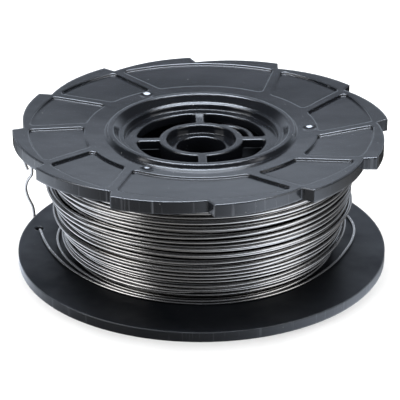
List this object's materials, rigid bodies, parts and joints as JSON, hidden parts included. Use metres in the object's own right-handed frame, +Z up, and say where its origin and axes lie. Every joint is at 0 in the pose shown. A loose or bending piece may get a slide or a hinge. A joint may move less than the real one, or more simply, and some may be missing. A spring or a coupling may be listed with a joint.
{
  "type": "reel of binding wire",
  "caption": "Black moulded reel with a saw-toothed upper flange and a plain lower flange, wound with bare steel tie wire whose end is hooked through the lower rim.",
  "frame": {"origin": "centre of the reel's footprint, at floor level, on the reel's axis", "axes": "+Z up along the reel's axis towards the toothed flange; +X and +Y along the spokes; the wire's end stands outside the lower rim towards -X +Y"},
  "size_m": [0.1, 0.1, 0.0378],
  "materials": {
    "black_plastic": "satin moulded",
    "steel_wire": "drawn, bare"
  },
  "bodies": {
    "root": {"toothed_flange": "black_plastic", "plain_flange": "black_plastic", "wire_coil": "steel_wire", "wire_tail": "steel_wire"}
  },
  "joints": []
}
